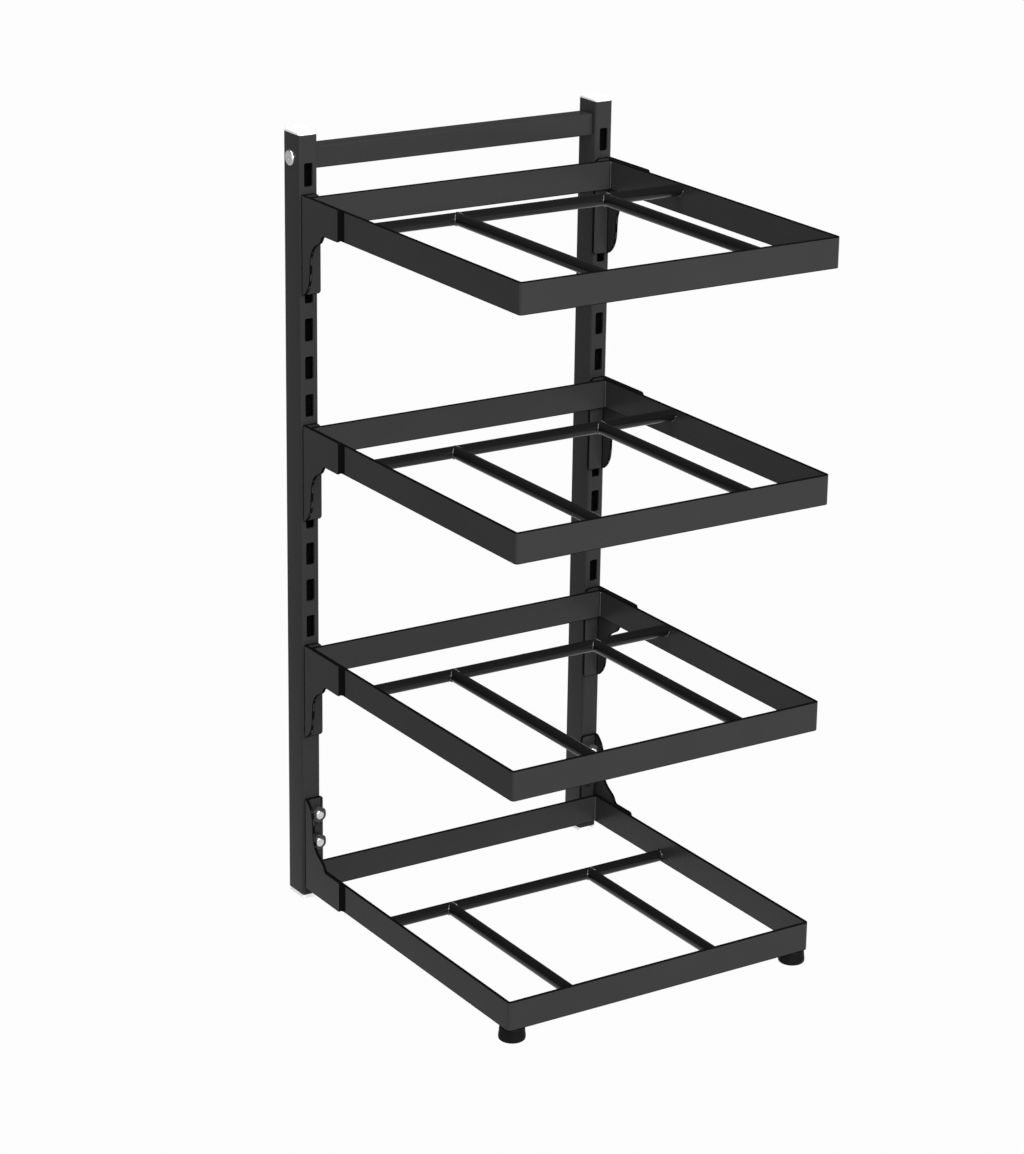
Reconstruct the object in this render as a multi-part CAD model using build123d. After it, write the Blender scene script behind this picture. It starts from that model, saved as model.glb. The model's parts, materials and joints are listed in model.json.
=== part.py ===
from build123d import *
import os

# Four-tier countertop rack for pots, pans and lids. Two slotted tube posts stand at the back,
# tied at the top by a square crossbar. Three shelves hang on the posts by hooks and the fourth,
# the same welded frame turned upside down, is bolted on at the bottom.
# Frame: millimetres, +X to the user's right, +Y towards the wall, +Z up. The origin is on the
# floor, in the middle of the overall box. Left is the -X side.

# Overall sizes
overall_width = 233.0        # across the outer faces of the two posts
overall_depth = 270.0        # posts' rear faces to the front of the feet
overall_height = 517.0       # floor to the top of the post caps

# Posts, rectangular tube
post_width = 13.0
post_depth = 20.0
post_wall = 1.5
post_corner = 1.6
post_inner_corner = 0.5
cap_head = 3.0               # height of a cap outside the tube
cap_inset = 0.2              # cap edge inside the tube's outer face
cap_plug = 10.0              # depth of a cap's plug in the tube
cap_wall = 1.6
cap_round = 1.6
cap_plug_corner = 0.6

# Slots in the front wall of each post
slot_width = 6.0
slot_height = 15.0
slot_corner = 1.2
slot_pitch = 24.75
first_slot_drop = 17.4       # post's top end to the top of the first slot
slot_zone_clearance = 60.0   # lowest slot stays this far above the bottom bracket

# Crossbar, square tube between the posts
crossbar_size = 14.0
crossbar_wall = 1.5
crossbar_corner = 1.0
crossbar_drop = 15.3         # post's top end to the crossbar's axis
crossbar_setback = 9.0       # post's rear face to the crossbar's axis
insert_length = 16.0         # threaded insert in each end

# Machine screws through the posts
screw_radius = 3.0
screw_head_radius = 5.0
screw_head_height = 2.8      # of the screws through the posts from behind
low_head_height = 1.4        # of the crossbar's screws
head_round = 0.6             # share of a head's height that is rounded over
screw_hole_clearance = 0.2
thread_clearance = 0.05
crossbar_screw_length = 25.0
screw_point = 0.5            # chamfer at a screw's end
recess_slot = 0.5            # cross recess: width of a slot, span, depth
recess_span = 2.6
recess_depth = 0.8
nut_across_flats = 10.0
nut_height = 5.0
nut_crown = 0.56             # radius of a nut's rounded end, as a share of its flats
nut_chamfer = 0.12           # share of a nut's height that is chamfered
screw_tail = 1.2             # screw end that shows past its nut

# Shelf frame: flat strip on edge, round rods flush with its upper edge
band_height = 19.5
band_thickness = 2.0
band_corner = 2.5
rod_radius = 3.9
rod_offset = 54.3            # each long rod from the middle
cross_rod_setback = 85.0     # bracket's rear face to the cross rod's axis
rear_bar_gap = 3.0           # bracket flange to the rear bar

# Bracket: bent sheet, a flange on the post's front face and a plate along the side bar
sheet = 2.0
bracket_inset = 1.0          # plate's outer face inside the post's outer face
flange_overhang = 1.0        # flange past the post's inner face
bracket_rise = 0.75          # bracket's edge past the strip's edge
bracket_height = 64.0
plate_length = 46.0
plate_corner = 2.0
shoulder_length = 29.0       # where the plate's lower edge turns down
tongue_curve = [             # distance from the post, share of the tongue's length
    (25.0, 0.08),
    (19.5, 0.17),
    (13.8, 0.28),
    (11.4, 0.44),
    (10.6, 0.70),
    (8.2, 0.87),
]
tongue_tip = 2.5
flange_top_corner = 4.5
flange_low_corner = 2.0
bend_radius = 1.8            # outside of the bend

# Hooks on the rear of the flanges
hook_width = 5.0
hook_thickness = 2.5
hook_drop = 6.5              # leg below the slot's lower edge
hook_seat = 19.75            # slot's lower edge to the shelf's upper edge
hang_gap = 0.15              # flange to the post's front face
hook_gap = 0.3               # hook's leg to the inside of the front wall
hook_bend = 2.0              # outside of the bend
hook_toe = 0.6

# Screws of the bottom bracket
bolt_end_margin = 10.5       # bracket's free end to the nearer screw
bolt_spacing = 19.5
nut_side_gap = 0.3           # nut to the bracket's plate

# Feet under the front corners of the bottom shelf
foot_height = 9.0
foot_radius = 8.5
foot_top_radius = 7.8
foot_edge = 1.2
foot_rim = 3.0               # height of the straight part of the foot's side
foot_inset = 7.3             # foot's axis inside the strip's outer faces
foot_screw_radius = 2.5
foot_head_radius = 4.25
foot_head_height = 2.8
foot_head_recess = 1.2       # head above the floor
foot_bore_clearance = 0.15
foot_head_clearance = 0.6
foot_nut_flats = 8.0
foot_nut_height = 4.0
foot_screw_tail = 1.5
tab_size = 18.0
tab_thickness = 2.0
tab_corner_cut = 7.0

# Places worked out from the sizes above
screw_hole = screw_radius + screw_hole_clearance
foot_overhang = foot_radius - foot_inset
front_y = -(overall_depth + screw_head_height) / 2
post_rear_y = front_y + overall_depth
post_front_y = post_rear_y - post_depth
bottom_front_y = front_y + foot_overhang
post_x = overall_width / 2 - post_width / 2
post_y = post_rear_y - post_depth / 2
post_bottom = cap_head
post_top = overall_height - cap_head
post_inner_x = overall_width / 2 - post_width
plate_outer_x = overall_width / 2 - bracket_inset
plate_inner_x = plate_outer_x - sheet
shelf_length = post_front_y - bottom_front_y
shelf_width = 2 * plate_inner_x
shelf_inner_x = plate_inner_x - band_thickness
rear_bar_y = -(sheet + rear_bar_gap)
rod_z = -rod_radius
crossbar_y = post_rear_y - crossbar_setback
crossbar_z = post_top - crossbar_drop
first_slot_top = post_top - first_slot_drop
bottom_band_z = foot_height
bottom_bracket_z = bottom_band_z - bracket_rise
bottom_bracket_top = bottom_bracket_z + bracket_height
lowest_slot_z = bottom_bracket_top + slot_zone_clearance
slot_count = 1 + int((first_slot_top - slot_height - lowest_slot_z) / slot_pitch)
shelf_step = (slot_count - 3) // 2
bolt_x = plate_inner_x - nut_side_gap - nut_across_flats / 2
foot_x = plate_inner_x - foot_inset
foot_y = bottom_front_y + foot_inset

SIDES = {"left": -1, "right": 1}
HANGING_SHELVES = {
    "top_shelf": 1,
    "upper_middle_shelf": 1 + shelf_step,
    "lower_middle_shelf": 1 + 2 * shelf_step,
}

nodes = {}


def slot_bottom(index):
    """Height of the lower edge of one slot, counted from the top."""
    return first_slot_top - index * slot_pitch - slot_height


def x_cylinder(radius, length, x, y, z):
    """Cylinder along X, centred on x."""
    return Pos(x, y, z) * Rot(0, 90, 0) * Cylinder(radius, length)


def y_cylinder(radius, length, x, y, z):
    """Cylinder along Y, centred on y."""
    return Pos(x, y, z) * Rot(90, 0, 0) * Cylinder(radius, length)


def pan_screw(radius, length, head_radius, head_height):
    """Pan-head screw on +Z: shank below z = 0, head above it, with a cross recess."""
    head = extrude(Circle(head_radius), head_height)
    head = fillet(head.edges().sort_by(Axis.Z)[-1], head_height * head_round)
    shank = extrude(Circle(radius), -length)
    shank = chamfer(shank.edges().sort_by(Axis.Z)[0], screw_point)
    blade = Box(recess_slot, recess_span, 2 * recess_depth)
    recess = Pos(0, 0, head_height) * (blade + Rot(0, 0, 90) * blade)
    return head + shank - recess


def hex_nut(flats, height, bore_radius):
    """Hexagon nut from z = 0 up, its flats square to X."""
    blank = extrude(RegularPolygon(flats / 2, 6, major_radius=False), height)
    crown = Cylinder(flats * nut_crown, height, align=(Align.CENTER, Align.CENTER, Align.MIN))
    crown = chamfer(crown.edges().sort_by(Axis.Z)[-1], height * nut_chamfer)
    return Rot(0, 0, 30) * (blank & crown) - Cylinder(bore_radius, 3 * height)


# Posts

def make_post(side):
    x = side * post_x
    length = post_top - post_bottom
    outside = RectangleRounded(post_width, post_depth, post_corner)
    inside = RectangleRounded(
        post_width - 2 * post_wall, post_depth - 2 * post_wall, post_inner_corner
    )
    post = Pos(x, post_y, post_bottom) * extrude(outside - inside, length)
    cutter = Plane.XZ * RectangleRounded(slot_width, slot_height, slot_corner)
    cutter = extrude(cutter, post_wall, both=True)
    slots = [
        Pos(x, post_front_y + post_wall / 2, slot_bottom(i) + slot_height / 2) * cutter
        for i in range(slot_count)
    ]
    holes = [x_cylinder(screw_hole, 2 * post_width, x, crossbar_y, crossbar_z)]
    for z in bolt_heights():
        holes.append(y_cylinder(screw_hole, 2 * post_depth, side * bolt_x, post_y, z))
    return post - slots - holes


def make_cap():
    """Plastic cap standing on z = 0, with a hollow plug below."""
    head = extrude(
        RectangleRounded(post_width - 2 * cap_inset, post_depth - 2 * cap_inset, post_corner),
        cap_head,
    )
    head = fillet(head.faces().sort_by(Axis.Z)[-1].edges(), cap_round)
    bore_width = post_width - 2 * post_wall
    bore_depth = post_depth - 2 * post_wall
    plug = Pos(0, 0, -cap_plug / 2) * Box(bore_width, bore_depth, cap_plug)
    plug = chamfer(plug.edges().filter_by(Axis.Z), cap_plug_corner)
    pocket = Pos(0, 0, -cap_plug / 2) * Box(
        bore_width - 2 * cap_wall, bore_depth - 2 * cap_wall, cap_plug
    )
    return head + (plug - pocket)


def bolt_heights():
    """Heights of the two screws in each bottom bracket."""
    upper = bottom_bracket_top - bolt_end_margin
    return [upper - bolt_spacing, upper]


# Crossbar

def make_crossbar():
    size = crossbar_size
    hollow = size - 2 * crossbar_wall
    section = RectangleRounded(size, size, crossbar_corner) - Rectangle(hollow, hollow)
    bar = extrude(Plane.YZ * section, post_inner_x, both=True)
    return Pos(0, crossbar_y, crossbar_z) * bar


def make_insert(side):
    """Threaded block inside the crossbar's end."""
    hollow = crossbar_size - 2 * crossbar_wall
    x = side * (post_inner_x - insert_length / 2)
    block = Pos(x, crossbar_y, crossbar_z) * Box(insert_length, hollow, hollow)
    bore = x_cylinder(screw_radius + thread_clearance, 2 * insert_length, x, crossbar_y, crossbar_z)
    return block - bore


def make_crossbar_screw(side):
    screw = pan_screw(screw_radius, crossbar_screw_length, screw_head_radius, low_head_height)
    return Pos(side * overall_width / 2, crossbar_y, crossbar_z) * Rot(0, side * 90, 0) * screw


# Shelf frame. Its own frame: y = 0 is the bracket's rear face, z = 0 the strip's upper edge.

def make_band():
    """Side arms and front bar, one strip bent at the two front corners."""
    depth = shelf_length + rear_bar_y
    outside = Rectangle(shelf_width, depth)
    outside = fillet(outside.vertices().group_by(Axis.Y)[0], band_corner)
    inside = Rectangle(shelf_width - 2 * band_thickness, depth - band_thickness)
    inside = Pos(0, band_thickness / 2) * inside
    inside = fillet(inside.vertices().group_by(Axis.Y)[0], band_corner - band_thickness)
    return Pos(0, rear_bar_y - depth / 2, -band_height) * extrude(outside - inside, band_height)


def make_rear_bar():
    width = 2 * shelf_inner_x
    y = rear_bar_y - band_thickness / 2
    return Pos(0, y, -band_height / 2) * Box(width, band_thickness, band_height)


def make_cross_rod():
    return x_cylinder(rod_radius, 2 * shelf_inner_x, 0, -cross_rod_setback, rod_z)


def make_long_rod(side):
    """Rod from the cross rod, coped to fit round it, to the front bar."""
    front = band_thickness - shelf_length
    length = -cross_rod_setback - front
    rod = y_cylinder(rod_radius, length, side * rod_offset, front + length / 2, rod_z)
    return rod - make_cross_rod()


def nearest_edge(shape, edge):
    """The edge of a shape that lies closest to a given one."""
    return shape.edges().sort_by(lambda e: (e.center() - edge.center()).length)[0]


def bracket_profile():
    """Side view of the bracket: plate along the side bar, then a tongue down the post."""
    plate_height = band_height + 2 * bracket_rise
    tongue_length = bracket_height - plate_height
    low_edge = bracket_rise - plate_height
    tip_edge = bracket_rise - bracket_height
    rear_top = (0, bracket_rise)
    front_top = (-plate_length, bracket_rise)
    front_low = (-plate_length, low_edge)
    shoulder = (-shoulder_length, low_edge)
    curve = [(-reach, low_edge - share * tongue_length) for reach, share in tongue_curve]
    tip = (-tongue_tip, tip_edge)
    rear_low = (0, tip_edge)
    outline = [
        Line(rear_top, front_top),
        Line(front_top, front_low),
        Line(front_low, shoulder),
        Spline(shoulder, *curve, tip, tangents=[(1, 0), (1, -0.6)]),
        Line(tip, rear_low),
        Line(rear_low, rear_top),
    ]
    face = make_face(Curve() + outline)
    corners = face.vertices().group_by(Axis.X)[0]
    return fillet(corners, plate_corner)


def make_bracket(side, drilled):
    """Flange and plate bent from one sheet, with screw holes where it is bolted on."""
    plate = extrude(Plane.YZ * bracket_profile(), sheet)
    if side < 0:
        plate = Pos(-plate_outer_x, 0, 0) * plate
    else:
        plate = Pos(plate_inner_x, 0, 0) * plate
    flange_inner_x = post_inner_x - flange_overhang
    width = plate_outer_x - flange_inner_x
    centre_z = bracket_rise - bracket_height / 2
    flange = Box(width, sheet, bracket_height)
    flange = Pos(side * (plate_outer_x - width / 2), -sheet / 2, centre_z) * flange
    inner_edges = flange.edges().filter_by(Axis.Y).sort_by(lambda e: side * e.center().X)[:2]
    low_edge, top_edge = inner_edges.sort_by(Axis.Z)
    flange = fillet(low_edge, flange_low_corner)
    flange = fillet(nearest_edge(flange, top_edge), flange_top_corner)
    bracket = plate + flange
    bend = bracket.edges().filter_by(Axis.Z).sort_by(
        lambda e: abs(e.center().X - side * plate_outer_x) + abs(e.center().Y)
    )[0]
    bracket = fillet(bend, bend_radius)
    if drilled:
        for drop in (bracket_height - bolt_end_margin, bracket_height - bolt_end_margin - bolt_spacing):
            bracket -= y_cylinder(screw_hole, 4 * sheet, side * bolt_x, 0, bracket_rise - drop)
    return bracket


def make_hooks(side):
    """Two bent lugs that pass through neighbouring slots and turn down behind the wall."""
    reach = hang_gap + post_wall + hook_gap + hook_thickness
    lugs = []
    for index in range(2):
        seat = -hook_seat - index * slot_pitch
        neck = Box(hook_width, reach, hook_thickness)
        neck = fillet(neck.edges().filter_by(Axis.Y).group_by(Axis.Z)[0], slot_corner)
        neck = Pos(side * post_x, reach / 2, seat + hook_thickness / 2) * neck
        leg_height = hook_thickness + hook_drop
        leg_y = reach - hook_thickness / 2
        leg = Pos(side * post_x, leg_y, seat + hook_thickness - leg_height / 2) * Box(
            hook_width, hook_thickness, leg_height
        )
        lug = neck + leg
        outer_bend = lug.edges().filter_by(Axis.X).group_by(Axis.Z)[-1].sort_by(Axis.Y)[-1]
        lug = fillet(outer_bend, hook_bend)
        toe = lug.edges().filter_by(Axis.X).group_by(Axis.Z)[0]
        lugs.append(chamfer(toe, hook_toe))
    return Compound(children=lugs)


def add_shelf(name, place, hooked):
    """Write one welded shelf frame with its two brackets at a given place."""
    nodes[name + "_band"] = place * make_band()
    nodes[name + "_rear_bar"] = place * make_rear_bar()
    nodes[name + "_cross_rod"] = place * make_cross_rod()
    for word, side in SIDES.items():
        seen_side = side if hooked else -side
        nodes[f"{name}_{word}_rod"] = place * make_long_rod(seen_side)
        nodes[f"{name}_{word}_bracket"] = place * make_bracket(seen_side, not hooked)
        if hooked:
            nodes[f"{name}_{word}_hooks"] = place * make_hooks(side)


# Bottom fasteners and feet

def make_bottom_screws(side):
    """Pair of screws through a post from behind."""
    length = post_depth + sheet + nut_height + screw_tail
    screw = pan_screw(screw_radius, length, screw_head_radius, screw_head_height)
    return Compound(
        children=[Pos(side * bolt_x, post_rear_y, z) * Rot(-90, 0, 0) * screw for z in bolt_heights()]
    )


def make_bottom_nuts(side):
    nut = hex_nut(nut_across_flats, nut_height, screw_radius + thread_clearance)
    face_y = post_front_y - sheet
    return Compound(
        children=[Pos(side * bolt_x, face_y, z) * Rot(90, 0, 0) * nut for z in bolt_heights()]
    )


def make_foot(side):
    """Tapered rubber foot with a bore and a recess for its screw's head."""
    body = Cylinder(foot_radius, foot_rim, align=(Align.CENTER, Align.CENTER, Align.MIN))
    taper_height = foot_height - foot_rim
    taper = Cone(
        foot_radius, foot_top_radius, taper_height, align=(Align.CENTER, Align.CENTER, Align.MIN)
    )
    body += Pos(0, 0, foot_rim) * taper
    body = fillet(body.edges().filter_by(GeomType.CIRCLE).sort_by(Axis.Z)[0], foot_edge)
    bore = Cylinder(foot_screw_radius + foot_bore_clearance, 3 * foot_height)
    recess = Cylinder(
        foot_head_radius + foot_head_clearance,
        foot_head_recess + foot_head_height,
        align=(Align.CENTER, Align.CENTER, Align.MIN),
    )
    return Pos(side * foot_x, foot_y, 0) * (body - bore - recess)


def make_foot_tab(side):
    """Corner plate welded inside the strip, level with its lower edge."""
    inner = band_thickness
    size = tab_size - inner
    plate = Rectangle(size, size, align=(Align.MAX, Align.MIN))
    plate = fillet(plate.vertices().sort_by(lambda v: v.Y - v.X)[0], band_corner - band_thickness)
    plate = chamfer(plate.vertices().sort_by(lambda v: v.Y - v.X)[-1], tab_corner_cut)
    tab = extrude(plate, tab_thickness)
    tab -= Pos(inner - foot_inset, foot_inset - inner, 0) * Cylinder(
        foot_screw_radius + foot_bore_clearance, 4 * tab_thickness
    )
    if side < 0:
        tab = mirror(tab, Plane.YZ)
    return Pos(side * shelf_inner_x, bottom_front_y + inner, foot_height) * tab


def make_foot_screw(side):
    length = foot_height - foot_head_recess - foot_head_height
    length += tab_thickness + foot_nut_height + foot_screw_tail
    screw = pan_screw(foot_screw_radius, length, foot_head_radius, foot_head_height)
    seat = foot_head_recess + foot_head_height
    return Pos(side * foot_x, foot_y, seat) * Rot(180, 0, 0) * screw


def make_foot_nut(side):
    nut = hex_nut(foot_nut_flats, foot_nut_height, foot_screw_radius + thread_clearance)
    return Pos(side * foot_x, foot_y, foot_height + tab_thickness) * nut


def build_stand():
    nodes["top_crossbar"] = make_crossbar()
    for word, side in SIDES.items():
        nodes[f"{word}_post"] = make_post(side)
        nodes[f"{word}_post_top_cap"] = Pos(side * post_x, post_y, post_top) * make_cap()
        nodes[f"{word}_post_bottom_cap"] = (
            Pos(side * post_x, post_y, post_bottom) * Rot(180, 0, 0) * make_cap()
        )
        nodes[f"{word}_crossbar_insert"] = make_insert(side)
        nodes[f"{word}_crossbar_screw"] = make_crossbar_screw(side)
        nodes[f"{word}_bottom_screws"] = make_bottom_screws(side)
        nodes[f"{word}_bottom_nuts"] = make_bottom_nuts(side)
        nodes[f"{word}_foot"] = make_foot(side)
        nodes[f"{word}_foot_tab"] = make_foot_tab(side)
        nodes[f"{word}_foot_screw"] = make_foot_screw(side)
        nodes[f"{word}_foot_nut"] = make_foot_nut(side)


def build_shelves():
    for name, index in HANGING_SHELVES.items():
        place = Pos(0, post_front_y - hang_gap, slot_bottom(index) + hook_seat)
        add_shelf(name, place, hooked=True)
    upside_down = Pos(0, post_front_y, bottom_band_z) * Rot(0, 180, 0)
    add_shelf("bottom_shelf", upside_down, hooked=False)


build_stand()
build_shelves()

os.makedirs("parts", exist_ok=True)
for name, shape in nodes.items():
    export_step(shape, f"parts/{name}.step")
print(len(nodes), "nodes,", slot_count, "slots in each post, shelves", shelf_step, "slots apart")
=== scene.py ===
# %% [markdown]
# # A black steel kitchen rack
# This lesson finishes a four-tier rack for pots and pans. The frame holds every part at its real size
# and place, in metres, so the work here is edges, welds, small fittings and finishes. A part whose
# shape is already right keeps its mesh and only gets a finish. A part that needs rounded edges is
# copied, softened and shown in place of the plain one.

# %% Load the frame
import json
import math

import bmesh
import bpy
from mathutils import Matrix, Vector


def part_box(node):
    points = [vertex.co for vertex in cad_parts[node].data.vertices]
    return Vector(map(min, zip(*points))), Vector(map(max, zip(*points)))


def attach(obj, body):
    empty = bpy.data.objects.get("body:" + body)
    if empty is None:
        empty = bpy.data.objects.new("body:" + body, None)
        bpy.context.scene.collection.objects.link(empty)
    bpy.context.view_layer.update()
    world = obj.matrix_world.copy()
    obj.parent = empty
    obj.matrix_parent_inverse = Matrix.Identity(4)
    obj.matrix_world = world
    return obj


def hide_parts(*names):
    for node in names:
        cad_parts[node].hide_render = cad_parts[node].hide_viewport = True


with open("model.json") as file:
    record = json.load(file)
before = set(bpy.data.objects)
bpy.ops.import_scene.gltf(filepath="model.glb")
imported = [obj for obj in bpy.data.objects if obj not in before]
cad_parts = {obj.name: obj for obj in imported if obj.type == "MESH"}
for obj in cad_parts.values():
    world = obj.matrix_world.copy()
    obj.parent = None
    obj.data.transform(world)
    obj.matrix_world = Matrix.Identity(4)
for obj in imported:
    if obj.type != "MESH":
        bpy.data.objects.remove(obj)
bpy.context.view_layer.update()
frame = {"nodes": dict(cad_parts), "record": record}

nodes = frame["nodes"]
bodies = frame["record"]["behaviour"]["bodies"]
body_of = {node: body for body, names in bodies.items() for node in names}
slot_of = {part["node"]: part["material_slot"] for part in frame["record"]["subparts"]}
shelves = sorted(name[: -len("_band")] for name in nodes if name.endswith("_band"))
print("parts", len(nodes), "shelves", shelves)

# %% [markdown]
# ## Arithmetic on sockets
# A finish is easier to read as a formula than as a row of Math nodes. `Value` wraps one socket and
# turns each operator into a Math node. `Finish` owns a material and adds any other node from its
# type, its settings and what its sockets hold. The reflected forms let a plain number come first.


# %% One class for shader arithmetic
class Value:
    def __init__(self, finish, socket):
        self.finish = finish
        self.socket = socket

    def _math(self, operation, first, second):
        return self.finish.add("ShaderNodeMath", {"operation": operation}, {0: first, 1: second})

    def __add__(self, other):
        return self._math("ADD", self, other)

    def __sub__(self, other):
        return self._math("SUBTRACT", self, other)

    def __rsub__(self, other):
        return self._math("SUBTRACT", other, self)

    def __mul__(self, other):
        return self._math("MULTIPLY", self, other)

    __radd__ = __add__
    __rmul__ = __mul__


# %% One class for a finish
class Finish:
    def __init__(self, name):
        self.material = bpy.data.materials.new(name)
        self.material.use_nodes = True
        self.tree = self.material.node_tree
        self.shader = self.tree.nodes["Principled BSDF"]
        self.place = self.add("ShaderNodeTexCoord", {}, {}, "Object")

    def plug(self, socket, value):
        if isinstance(value, Value):
            self.tree.links.new(value.socket, socket)
        else:
            socket.default_value = value

    def add(self, kind, settings, sockets, output=0):
        """Adds one node: its type, its settings, then the values or links of its sockets."""
        node = self.tree.nodes.new(kind)
        for key, value in settings.items():
            setattr(node, key, value)
        for key, value in sockets.items():
            self.plug(node.inputs[key], value)
        return Value(self, node.outputs[output])

    def set(self, **sockets):
        """Sets the shader's own sockets, named with underscores for spaces."""
        for key, value in sockets.items():
            self.plug(self.shader.inputs[key.replace("_", " ")], value)

    def noise(self, size, detail):
        """Noise from 0 to 1 whose lumps are about size metres across."""
        sockets = {"Vector": self.place, "Scale": 1.0 / size, "Detail": detail}
        return self.add("ShaderNodeTexNoise", {"noise_dimensions": "3D"}, sockets, "Fac")

    def between(self, factor, low, high):
        """A number that runs from low to high as factor runs from 0 to 1."""
        return factor * (high - low) + low

    def tint(self, factor, first, second):
        """A colour between two, through the Mix node's colour sockets, which are 6 and 7 in, 2 out."""
        sockets = {"Factor": factor, 6: (*first, 1.0), 7: (*second, 1.0)}
        return self.add("ShaderNodeMix", {"data_type": "RGBA"}, sockets, 2)

    def bump(self, height, depth):
        """A normal from a height of 0 to 1 that stands for depth metres."""
        return self.add("ShaderNodeBump", {}, {"Height": height, "Distance": depth}, "Normal")


# %% [markdown]
# ## Powder coat
# The frame is sprayed with black powder and baked. The powder melts into a skin with a faint orange
# peel, waves about a millimetre across and a few microns high, and its gloss drifts a little from
# place to place where the oven was hotter. Both come from noise on object coordinates, so the grain
# has one real size on every part. The pigment is a very dark grey and does most of the work, and the
# weak shine keeps wide faces from turning into mirrors. The sheared faces and their rounding get a
# near-black, dull coat that hardly reflects, which is painted shade on the tops and edges. The round
# bars get a darker copy of the coat, painted shade as well, and over the welds it pools and sets
# glossier.


# %% The black powder coat
def powder_coat(name, dark=0.0210, peel=0.0014, peel_depth=0.000006, gloss=(0.20, 0.29), shine=0.10):
    """Paint of a pigment's darkness, its peel's size and depth, a range of roughness and its shine."""
    finish = Finish(name)
    drift = finish.noise(0.045, 3.0)
    grain = finish.noise(0.00035, 1.0)
    waves = finish.noise(peel, 2.0)
    colour = finish.tint(drift, (dark, dark, dark * 1.03), (dark * 1.2, dark * 1.2, dark * 1.23))
    rough = finish.between(drift, *gloss) + grain * 0.05
    relief = waves * 0.8 + grain * 0.2
    finish.set(Base_Color=colour, Roughness=rough, Normal=finish.bump(relief, peel_depth))
    finish.set(Specular_IOR_Level=shine)
    return finish.material


black_paint = powder_coat("black_powder_coat")
# The rods' coat is the same powder made darker: painted shade on the round bars.
rod_coat_painted_shade = powder_coat("powder_coat_on_rod_painted_shade", dark=0.0045, gloss=(0.17, 0.25), shine=0.22)
# The near-black, dull coat below is painted shade on sheared faces, their rounding and the bracket
# fillets.
painted_shade_settings = {"peel": 0.0006, "gloss": (0.48, 0.58), "shine": 0.02}
edge_coat_painted_shade = powder_coat("powder_coat_painted_shade_on_sheared_edge", dark=0.0025, **painted_shade_settings)
pooled = {"peel": 0.0009, "peel_depth": 0.000012, "gloss": (0.10, 0.16), "shine": 0.80}
weld_paint = powder_coat("powder_coat_over_weld", dark=0.0060, **pooled)
print("paint", [paint.name for paint in (black_paint, rod_coat_painted_shade, edge_coat_painted_shade, weld_paint)])

# %% [markdown]
# ## Plated steel
# The screws are zinc plated. Zinc is bright but not a mirror: the plating has cloudy patches, which
# change the colour and the roughness together, and the cold-formed head under it leaves fine lines,
# which a shallow bump carries. The nuts are blackened instead, with the same two patterns darker.


# %% Bright zinc and black oxide
def zinc_plate(name):
    finish = Finish(name)
    clouds = finish.noise(0.0022, 4.0)
    lines = finish.noise(0.00022, 2.0)
    colour = finish.tint(clouds, (0.84, 0.84, 0.83), (0.94, 0.94, 0.93))
    finish.set(Base_Color=colour, Metallic=1.0)
    finish.set(Roughness=finish.between(clouds, 0.26, 0.40), Normal=finish.bump(lines, 0.000004))
    return finish.material


def black_oxide(name):
    finish = Finish(name)
    clouds = finish.noise(0.0030, 3.0)
    lines = finish.noise(0.00030, 2.0)
    colour = finish.tint(clouds, (0.010, 0.010, 0.011), (0.022, 0.022, 0.023))
    finish.set(Base_Color=colour, Roughness=finish.between(clouds, 0.30, 0.45))
    finish.set(Normal=finish.bump(lines, 0.000006), Specular_IOR_Level=0.6)
    return finish.material


zinc = zinc_plate("bright_zinc_plate")
oxide = black_oxide("black_oxide")
print("metals", zinc.name, oxide.name)

# %% [markdown]
# ## Moulded plastic and rubber
# The caps are white polyethylene with the soft sheen of a spark-eroded mould. The feet are black
# rubber, which is duller, with a dusting that makes the colour uneven.


# %% White plastic and black rubber
def moulded_plastic(name):
    finish = Finish(name)
    mould = finish.noise(0.00045, 2.0)
    flow = finish.noise(0.009, 2.0)
    colour = finish.tint(flow, (0.93, 0.93, 0.925), (0.96, 0.96, 0.955))
    finish.set(Base_Color=colour, Roughness=finish.between(mould, 0.30, 0.42))
    finish.set(Normal=finish.bump(mould, 0.000012))
    return finish.material


def moulded_rubber(name):
    finish = Finish(name)
    skin = finish.noise(0.0006, 3.0)
    dust = finish.noise(0.006, 4.0)
    colour = finish.tint(dust, (0.002, 0.002, 0.002), (0.006, 0.006, 0.006))
    finish.set(Base_Color=colour, Roughness=finish.between(skin, 0.52, 0.68))
    finish.set(Normal=finish.bump(skin, 0.00002), Specular_IOR_Level=0.06)
    return finish.material


white_plastic = moulded_plastic("white_moulded_plastic")
rubber = moulded_rubber("black_moulded_rubber")
finishes = {
    "black_paint": black_paint,
    "white_plastic": white_plastic,
    "rubber": rubber,
    "zinc_steel": zinc,
    "black_steel_nuts": oxide,
    "plain_steel": zinc,
}
print("finishes by slot", sorted(finishes))

# %% [markdown]
# ## Finishes on the parts
# Each part names the slot of its material, so one table is enough to paint the whole rack. Only the
# round bars differ from the strips in the same slot.


# %% Every part gets its finish
def paint(piece, material):
    piece.data.materials.clear()
    piece.data.materials.append(material)


# The rods take the darker coat of painted shade; every other part takes the finish of its slot.
for node, piece in nodes.items():
    paint(piece, rod_coat_painted_shade if node.endswith("_rod") else finishes[slot_of[node]])
print("painted", len(nodes))

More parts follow.
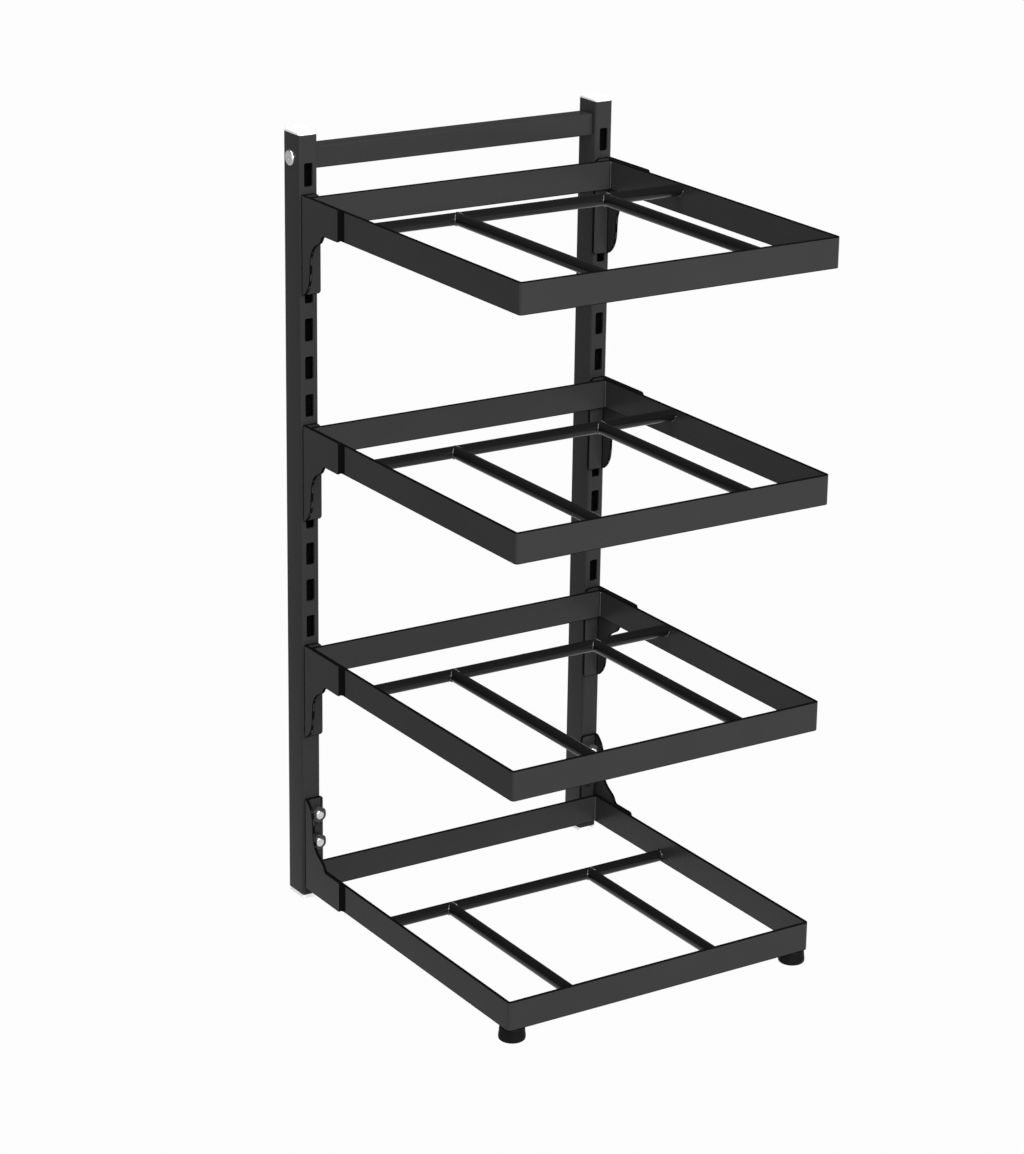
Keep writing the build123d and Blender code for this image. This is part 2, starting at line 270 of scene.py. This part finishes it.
# %% [markdown]
# ## Softened edges
# Sheared strip, drawn tube and punched slots all have small rounded edges, and paint rounds them
# further. A perfectly sharp edge catches no light and looks like a drawing. Each sharp-edged part is
# copied, its loose triangles are merged and joined into flat faces, and a Bevel modifier rounds every
# edge that turns by more than its angle limit. The tops, bottoms and narrow ends of strip and sheet
# are the sheared faces, and they and their rounding take the duller coat. There the clamp is off,
# because it would shrink the rounding everywhere to suit the shortest edge. The copy then stands for
# the plain part.
# That near-black, dull coat on the sheared faces and their rounding is painted shade.


# %% A softened copy of a part
def shown(piece, node, replace=True):
    """Puts a finished piece on the body of its node and, when it replaces the node, hides the plain
    part.
    """
    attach(piece, body_of[node])
    if replace:
        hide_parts(node)
    return piece


def new_piece(name, mesh_data, material):
    """A piece at the origin with one material, in the scene."""
    piece = bpy.data.objects.new(name, mesh_data)
    bpy.context.scene.collection.objects.link(piece)
    paint(piece, material)
    return piece


def mesh_from(form, name):
    """Turns a finished bmesh into smooth-shaded mesh data."""
    mesh_data = bpy.data.meshes.new(name)
    form.to_mesh(mesh_data)
    form.free()
    if "custom_normal" in mesh_data.attributes:
        mesh_data.attributes.remove(mesh_data.attributes["custom_normal"])
    mesh_data.shade_smooth()
    return mesh_data


def mark_sharp(piece, degrees):
    """Keeps edges sharper than an angle from being shaded as round."""
    piece.data.set_sharp_from_angle(angle=math.radians(degrees))


def sheared(face, thinnest=0.0018, thickest=0.0023):
    """True for the top or bottom of upright sheet, or for an end as narrow as the sheet is thick."""
    wide, deep = (max(v.co[i] for v in face.verts) - min(v.co[i] for v in face.verts) for i in (0, 1))
    x, y, z = (abs(part) for part in face.normal)
    upright_end = y > 0.5 and x < 0.1 and thinnest < wide < thickest
    side_end = x > 0.9 and thinnest < deep < thickest
    return z > 0.5 or upright_end or side_end


def soften(node, radius, segments=3, limit=35.0, edges=None):
    """A copy with rounded edges, whose sheared faces and rounded edges take the edges material, when
    given, a coat of painted shade.
    """
    form = bmesh.new()
    form.from_mesh(nodes[node].data)
    bmesh.ops.remove_doubles(form, verts=form.verts, dist=0.000002)
    nearly_flat = math.radians(0.4)
    bmesh.ops.dissolve_limit(form, angle_limit=nearly_flat, verts=form.verts, edges=form.edges)
    form.normal_update()
    narrow = [sheared(face) for face in form.faces]
    piece = new_piece(node + "_softened", mesh_from(form, node), finishes[slot_of[node]])
    if edges:
        piece.data.materials.append(edges)
        for polygon, is_narrow in zip(piece.data.polygons, narrow):
            polygon.material_index = int(is_narrow)
    rounding = piece.modifiers.new("rounded edges", "BEVEL")
    rounding.width = radius
    rounding.segments = segments
    rounding.profile = 0.5
    rounding.limit_method = "ANGLE"
    rounding.angle_limit = math.radians(limit)
    rounding.harden_normals = True
    rounding.material = 1 if edges else -1
    rounding.use_clamp_overlap = edges is None
    return shown(piece, node)


strip_radius = {"band": 0.0006, "rear_bar": 0.0006, "bracket": 0.0005}
tube_radius = {"post": 0.00035, "crossbar": 0.0003}
softened = []
# Strips, rear bars and brackets take the coat of painted shade on their sheared faces and rounding.
for node in sorted(nodes):
    for kind, radius in {**strip_radius, **tube_radius}.items():
        if node.endswith(kind):
            softened.append(soften(node, radius, edges=edge_coat_painted_shade if kind in strip_radius else None))
print("softened", len(softened))

# %% [markdown]
# ## Weld beads
# The rods, strips and corners are joined by small arc welds, ground little and painted over. A bead
# could be sculpted, but it is really a thick line along a joint, so each one is a curve with a round
# section whose radius ripples along its length, turned into a mesh. The ripple repeats every pitch,
# as the welder's steps do.


# %% One bead along a line of points
def bead(points, radius, ripple=0.16, pitch=0.0011):
    """The mesh of a round bead along points, whose radius swells by ripple once every pitch."""
    curve = bpy.data.curves.new("bead", "CURVE")
    curve.dimensions = "3D"
    curve.bevel_depth = radius
    curve.bevel_resolution = 3
    curve.use_fill_caps = True
    line = curve.splines.new("POLY")
    line.points.add(len(points) - 1)
    walked = 0.0
    for index, point in enumerate(points):
        if index:
            walked += (Vector(point) - Vector(points[index - 1])).length
        line.points[index].co = (*point, 1.0)
        line.points[index].radius = 1.0 + ripple * math.sin(2.0 * math.pi * walked / pitch)
    carrier = bpy.data.objects.new("bead", curve)
    mesh_data = bpy.data.meshes.new_from_object(carrier)
    bpy.data.objects.remove(carrier)
    return mesh_data


def joined(meshes, name):
    """One smooth mesh from several."""
    form = bmesh.new()
    for mesh_data in meshes:
        form.from_mesh(mesh_data)
    bmesh.ops.remove_doubles(form, verts=form.verts, dist=0.000001)
    bmesh.ops.recalc_face_normals(form, faces=form.faces)
    return mesh_from(form, name)


# %% [markdown]
# ## The beads of a shelf
# Each long rod ends on the front strip and meets the cross rod in a tee, the cross rod ends on both
# side strips, and the rear bar stands in two corners. All these beads make one piece a shelf. A rod's
# end is welded round one half only: under the rod on the hanging shelves, and above it on the bottom
# shelf, which is the same frame turned over. Where two equal rods meet, the joint is two half
# ellipses, which a formula gives.


# %% Lines along the joints
def spread(low, high, count):
    """Evenly spaced values from low to high."""
    return [low + (high - low) * step / count for step in range(count + 1)]


def half_round(centre, radius, along, up):
    """Points on the half circle about centre that lies opposite to up."""
    points = []
    for degrees in spread(180, 360, 28):
        across = Vector(along) * radius * math.cos(math.radians(degrees))
        points.append(Vector(centre) + across + Vector(up) * radius * math.sin(math.radians(degrees)))
    return points


def tee_joint(centre, radius, flank):
    """Points where one flank of a rod runs into the cross rod of the same radius."""
    points = []
    for degrees in spread(-84, 84, 30):
        away = radius * math.cos(math.radians(degrees))
        rise = radius * math.sin(math.radians(degrees))
        points.append((centre.x + flank * away, centre.y - away, centre.z + rise))
    return points


# %% The beads of each shelf
bead_radius = 0.0008
tee_bead_radius = 0.00065
off_face = 0.0003
corner_inset = 0.0012


def shelf_welds(shelf):
    cross_low, cross_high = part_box(shelf + "_cross_rod")
    rear_low, rear_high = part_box(shelf + "_rear_bar")
    cross = (cross_low + cross_high) / 2
    rod_radius = (cross_high.y - cross_low.y) / 2
    up = (0, 0, -1 if shelf == "bottom_shelf" else 1)
    meshes = []
    for side in ("left", "right"):
        low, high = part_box(f"{shelf}_{side}_rod")
        rod_x = (low.x + high.x) / 2
        front_end = (rod_x, low.y + off_face, cross.z)
        meshes.append(bead(half_round(front_end, rod_radius, (1, 0, 0), up), bead_radius))
        for flank in (-1, 1):
            joint = tee_joint(Vector((rod_x, cross.y, cross.z)), rod_radius, flank)
            meshes.append(bead(joint, tee_bead_radius))
    for face_x, inwards in ((cross_low.x, 1), (cross_high.x, -1)):
        inner_x = face_x + inwards * off_face
        side_end = (inner_x, cross.y, cross.z)
        meshes.append(bead(half_round(side_end, rod_radius, (0, 1, 0), up), bead_radius))
        heights = spread(rear_low.z + corner_inset, rear_high.z - corner_inset, 34)
        corner = [(inner_x, rear_low.y - off_face, z) for z in heights]
        meshes.append(bead(corner, bead_radius, ripple=0.06))
    piece = new_piece(shelf + "_welds", joined(meshes, shelf + "_welds"), weld_paint)
    return shown(piece, shelf + "_band", replace=False)


print("bead radii", bead_radius, tee_bead_radius)

# %% [markdown]
# ## Fillets at the brackets
# The front edge of each bracket's plate is welded down on the side strip. That weld fills the step
# between them with a hollow slope, longer than it is high. Its section is drawn once as a face, which
# is extruded upwards and cut into short lengths. Each cut then draws the slope forwards by a slightly
# different amount, which leaves the uneven front edge of a hand-made weld.
# The fillets take the near-black, dull coat of the sheared faces, which paints the shade in the step
# ahead of each plate's end.


# %% Upright fillets
def fillet_weld(corner_x, corner_y, outwards, low_z, high_z, lengths=34):
    """An upright concave fillet that starts in a corner and runs outwards and forwards."""
    out, ahead, buried = 0.0018, 0.0046, 0.0002
    section = [(-buried, -buried), (out, -buried)]
    for t in spread(0.0, 1.0, 8):
        bend = 2.0 * t * (1.0 - t)
        section.append((out * ((1.0 - t) ** 2 + 0.3 * bend), ahead * (t * t + 0.2 * bend)))
    section.append((-buried, ahead))
    form = bmesh.new()
    ring = [form.verts.new((corner_x + outwards * u, corner_y - v, low_z)) for u, v in section]
    raised = bmesh.ops.extrude_face_region(form, geom=[form.faces.new(ring)])["geom"]
    top = [item for item in raised if isinstance(item, bmesh.types.BMVert)]
    height = high_z - low_z
    bmesh.ops.translate(form, vec=(0.0, 0.0, height), verts=top)
    upright = [e for e in form.edges if abs(e.verts[0].co.z - e.verts[1].co.z) > height / 2]
    bmesh.ops.subdivide_edges(form, edges=upright, cuts=lengths - 1, use_grid_fill=True)
    for vert in form.verts:
        forward = corner_y - vert.co.y
        if forward > 0.0:
            step = lengths * (vert.co.z - low_z) / height
            vert.co.y = corner_y - forward * (1.0 + 0.05 * math.sin(1.9 * step))
    return mesh_from(form, "fillet")


# The fillets' near-black coat is painted shade ahead of each bracket plate's end.
def bracket_welds(shelf, inset=0.0006):
    """The two fillets where a shelf's brackets end on its side strips."""
    band_low, band_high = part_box(shelf + "_band")
    ends = (band_low.z + inset, band_high.z - inset)
    meshes = []
    for side, face_x, outwards in (("left", band_low.x, -1), ("right", band_high.x, 1)):
        plate_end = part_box(f"{shelf}_{side}_bracket")[0].y
        meshes.append(fillet_weld(face_x, plate_end, outwards, *ends))
    piece = new_piece(shelf + "_bracket_welds", joined(meshes, shelf + "_bracket_welds"), edge_coat_painted_shade)
    mark_sharp(piece, 50.0)
    return shown(piece, shelf + "_band", replace=False)


# %% Both kinds of weld on every shelf
for shelf in shelves:
    welds, end_welds = shelf_welds(shelf), bracket_welds(shelf)
    print(welds.name, len(welds.data.polygons), end_welds.name, len(end_welds.data.polygons))

# %% [markdown]
# ## Post caps
# The caps are moulded, so their edges are rounder than the frame's, and the top ones are crowned. A
# cube is scaled to the cap's head, and its upright edges, its outer rim and the edge that seats on
# the post are bevelled in that order. The plug below the head stays inside the tube and never shows,
# so it is left out here.


# %% Crowned post caps
def round_edges(form, edges, radius, segments):
    bmesh.ops.bevel(
        form, geom=edges, offset=radius, segments=segments, profile=0.5, affect="EDGES", material=-1
    )


def crowned_cap(node, top, plug_depth=0.010, corner=0.0021, seat=0.0003):
    """The head of a post cap, at the top or the bottom of its plug."""
    low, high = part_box(node)
    head_low = low.z + plug_depth if top else low.z
    head_high = high.z if top else high.z - plug_depth
    form = bmesh.new()
    bmesh.ops.create_cube(form, size=1.0)
    size = Vector((high.x - low.x, high.y - low.y, head_high - head_low))
    bmesh.ops.scale(form, vec=size, verts=form.verts)
    centre = Vector(((low.x + high.x) / 2, (low.y + high.y) / 2, (head_low + head_high) / 2))
    bmesh.ops.translate(form, vec=centre, verts=form.verts)
    upright = [e for e in form.edges if abs(e.verts[0].co.z - e.verts[1].co.z) > size.z / 2]
    round_edges(form, upright, corner, 5)
    outer, inner = (head_high, head_low) if top else (head_low, head_high)
    crown = 0.0017 if top else 0.0008
    for level, radius, segments in ((outer, crown, 6), (inner, seat, 2)):
        around = [e for e in form.edges if all(abs(v.co.z - level) < 1e-6 for v in e.verts)]
        round_edges(form, around, radius, segments)
    piece = new_piece(node + "_crowned", mesh_from(form, node), white_plastic)
    return shown(piece, node)


for side in ("left", "right"):
    caps = [crowned_cap(f"{side}_post_top_cap", True), crowned_cap(f"{side}_post_bottom_cap", False)]
    print([cap.name for cap in caps])

# %% [markdown]
# ## Screws, nuts and hooks
# These fittings already have their shapes: crowned heads with a cross recess, chamfered nuts, bent
# hooks. Only their edges are too crisp for plated or painted steel, so they are softened like the
# frame, with finer radii.


# %% Rounded screws, nuts and hooks
fine_radius = {
    "bottom_nuts": 0.00025,
    "crossbar_screw": 0.00012,
    "bottom_screws": 0.00012,
    "hooks": 0.0003,
    "foot_tab": 0.0003,
}
fittings = []
for node in sorted(nodes):
    for kind, radius in fine_radius.items():
        if node.endswith(kind):
            fittings.append(soften(node, radius, segments=2, limit=40.0))
print("fittings softened", len(fittings))

# %% [markdown]
# ## Rubber feet
# A foot is a turned shape, so its half profile is drawn once and spun round the upright axis through
# the hole for its screw. The profile starts in the recess for the screw's head, rounds the soft lower
# edge, climbs the straight rim and the slightly narrower waist, and comes back down the bore.


# %% Spun rubber feet
def rubber_foot(node, draw_in=0.0006, edge=0.0014, chamfer=0.0004):
    """A turned foot with a bore for its screw and a recess below for the screw's head."""
    low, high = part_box(node)
    centre = Vector(((low.x + high.x) / 2, (low.y + high.y) / 2, 0.0))
    height = high.z
    rim = (high.x - low.x) / 2
    waist = rim - draw_in
    bore, recess, recess_top, rim_top = 0.00265, 0.00485, 0.0040, 0.0030
    outline = [(recess, recess_top), (recess, chamfer), (recess + chamfer, 0.0)]
    for angle in spread(0, math.pi / 2, 6):
        outline.append((rim - edge + edge * math.sin(angle), edge - edge * math.cos(angle)))
    outline += [(rim, rim_top), (rim - 0.00015, rim_top + 0.0006), (waist + 0.0001, height - 0.0016)]
    outline += [(waist, height - 0.0006), (waist - 0.0005, height), (bore, height), (bore, recess_top)]
    form = bmesh.new()
    ring = [form.verts.new((centre.x + r, centre.y, z)) for r, z in outline]
    edges = [form.edges.new((ring[i], ring[(i + 1) % len(ring)])) for i in range(len(ring))]
    bmesh.ops.spin(
        form, geom=ring + edges, cent=centre, axis=(0, 0, 1), angle=2 * math.pi, steps=72, use_merge=True
    )
    bmesh.ops.remove_doubles(form, verts=form.verts, dist=0.000001)
    bmesh.ops.recalc_face_normals(form, faces=form.faces)
    piece = new_piece(node + "_turned", mesh_from(form, node), rubber)
    mark_sharp(piece, 50.0)
    return shown(piece, node)


for side in ("left", "right"):
    foot = rubber_foot(f"{side}_foot")
    print(foot.name, len(foot.data.polygons))

# %% [markdown]
# ## The floor
# The rack stands on a wide pale floor, and its upright faces take much of their light from it. The
# camera sees the floor plain, but the light that it gives the rack fades towards the left and the
# back, as if a grey card lay there, so side faces come out darker than front ones. A Light Path node
# tells the camera's rays from the others.


# %% Pale floor
floor_size = 60.0
form = bmesh.new()
bmesh.ops.create_grid(form, x_segments=1, y_segments=1, size=floor_size / 2)
floor = bpy.data.objects.new("floor", mesh_from(form, "floor"))
bpy.context.scene.collection.objects.link(floor)
pale = Finish("pale_floor")
east = pale.add("ShaderNodeSeparateXYZ", {}, {0: pale.place}, "X")
north = pale.add("ShaderNodeSeparateXYZ", {}, {0: pale.place}, "Y")
towards_card = north * 0.54 - east * 0.84
fade = {"Value": towards_card, "From Min": -0.25, "From Max": 0.55, "To Min": 1.0, "To Max": 0.42}
glow = pale.add("ShaderNodeMapRange", {"interpolation_type": "SMOOTHSTEP"}, fade)
pale.set(Base_Color=(0.04, 0.04, 0.04, 1.0), Roughness=0.9, Specular_IOR_Level=0.0)
pale.set(Emission_Color=glow, Emission_Strength=0.97)
white = {"Color": (1.0, 1.0, 1.0, 1.0), "Strength": 0.98}
plain = pale.add("ShaderNodeEmission", {}, white, "Emission")
to_camera = pale.add("ShaderNodeLightPath", {}, {}, "Is Camera Ray")
looks = {0: to_camera, 1: Value(pale, pale.shader.outputs["BSDF"]), 2: plain}
output = pale.tree.nodes["Material Output"]
pale.plug(output.inputs["Surface"], pale.add("ShaderNodeMixShader", {}, looks))
paint(floor, pale.material)
print("floor", floor_size)

# %% [markdown]
# ## Soft boxes and surround
# Three soft boxes light the white caps and the front faces, and stay out of the mirror directions of
# the edges. The surround is dim, which leaves the upper edges dark, but the camera sees it as pale as
# the floor, so the horizon doesn't show.


# %% Soft boxes
def direction(azimuth, elevation):
    """A unit vector at an azimuth from the front and an elevation, both in degrees."""
    turn, rise = math.radians(azimuth), math.radians(elevation)
    return Vector((math.sin(turn) * math.cos(rise), -math.cos(turn) * math.cos(rise), math.sin(rise)))


def soft_box(name, azimuth, elevation, size, power, distance=2.6, aim=(0.0, 0.0, 0.25)):
    """A square light of a size in metres and a power in watts that faces the aim point."""
    lamp = bpy.data.lights.new(name, "AREA")
    lamp.shape = "SQUARE"
    lamp.size = size
    lamp.energy = power
    light = bpy.data.objects.new(name, lamp)
    bpy.context.scene.collection.objects.link(light)
    away = direction(azimuth, elevation)
    light.location = Vector(aim) + away * distance
    light.rotation_euler = away.to_track_quat("Z", "Y").to_euler()
    return light


soft_box("front_box", -5.0, 30.0, size=1.4, power=100.0)
soft_box("side_box", -80.0, 15.0, size=1.6, power=18.0)
soft_box("top_box", -60.0, 80.0, size=1.8, power=60.0)
print("lights", len(bpy.data.lights))

# %% Surround
world = bpy.data.worlds.new("surround")
bpy.context.scene.world = world
world.use_nodes = True
shades, links = world.node_tree.nodes, world.node_tree.links
dim = shades["Background"]
dim.inputs["Color"].default_value = (0.9, 0.9, 0.9, 1.0)
dim.inputs["Strength"].default_value = 0.10
seen = shades.new("ShaderNodeBackground")
seen.inputs["Color"].default_value = (0.98, 0.98, 0.98, 1.0)
choice = shades.new("ShaderNodeMixShader")
links.new(shades.new("ShaderNodeLightPath").outputs["Is Camera Ray"], choice.inputs[0])
links.new(dim.outputs[0], choice.inputs[1])
links.new(seen.outputs[0], choice.inputs[2])
links.new(choice.outputs[0], shades["World Output"].inputs["Surface"])
bpy.context.scene.view_settings.view_transform = "Standard"
print("surround", world.name)

# %% [markdown]
# ## The camera
# It stands in front and to the left, nearly twice as high as the rack, and far enough back with a long
# lens that the posts run nearly parallel. It is aimed at a point and then rolled by less than a degree.

# %% Camera
aim_point = Vector((-0.02528, 0.00555, 0.24354))
view_azimuth, view_elevation, view_roll = -32.77, 19.23, 0.87
view_distance = 2.160
focal_length = 120.6
backwards = direction(view_azimuth, view_elevation)
lens = bpy.data.cameras.new("camera")
lens.sensor_fit = "HORIZONTAL"
lens.sensor_width = 36.0
lens.lens = focal_length
camera = bpy.data.objects.new("camera", lens)
bpy.context.scene.collection.objects.link(camera)
facing = backwards.to_track_quat("Z", "Y").to_matrix().to_4x4()
rolled = facing @ Matrix.Rotation(math.radians(view_roll), 4, "Z")
camera.matrix_world = Matrix.Translation(aim_point + backwards * view_distance) @ rolled
bpy.context.scene.camera = camera
print("camera at", [round(c, 3) for c in camera.location])

# %% [markdown]
# ## The end

# %% The end
print("scene finished")
